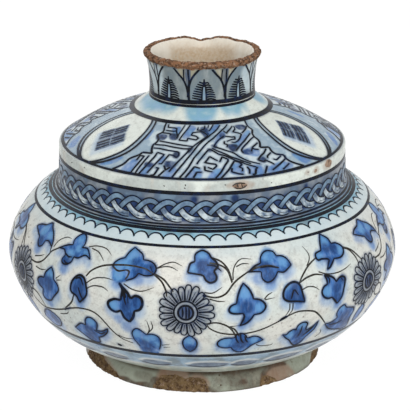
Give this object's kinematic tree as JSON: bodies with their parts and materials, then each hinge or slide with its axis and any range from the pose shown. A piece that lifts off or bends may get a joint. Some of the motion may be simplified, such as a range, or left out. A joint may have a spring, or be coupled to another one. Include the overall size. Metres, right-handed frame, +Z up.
{
  "type": "ceramic vase",
  "caption": "Squat glazed vase with a round belly, upright collar, low cone shoulder, short broken neck and splayed foot ring, painted in blue on white.",
  "frame": {"origin": "centre of the foot's resting plane, on the vessel's axis", "axes": "+Z up along the vessel's axis; -Y towards the side that the picture shows"},
  "size_m": [0.199, 0.199, 0.161],
  "materials": {
    "foot_glaze": "thin grey-green glaze, worn through to brown clay in patches",
    "white_glaze": "glossy off-white glaze over blue and black painting",
    "blue_glaze": "glossy glaze over dense blue painting with black outlines",
    "fritware_slip": "fired slip, matt"
  },
  "bodies": {
    "root": {"foot_ring": "foot_glaze", "lower_bowl": "white_glaze", "upper_dome": "white_glaze", "collar": "blue_glaze", "cone": "blue_glaze", "neck": "blue_glaze", "foot_slip": "fritware_slip", "belly_slip": "fritware_slip", "shoulder_slip": "fritware_slip", "lip_slip": "fritware_slip", "neck_slip": "fritware_slip"}
  },
  "joints": []
}
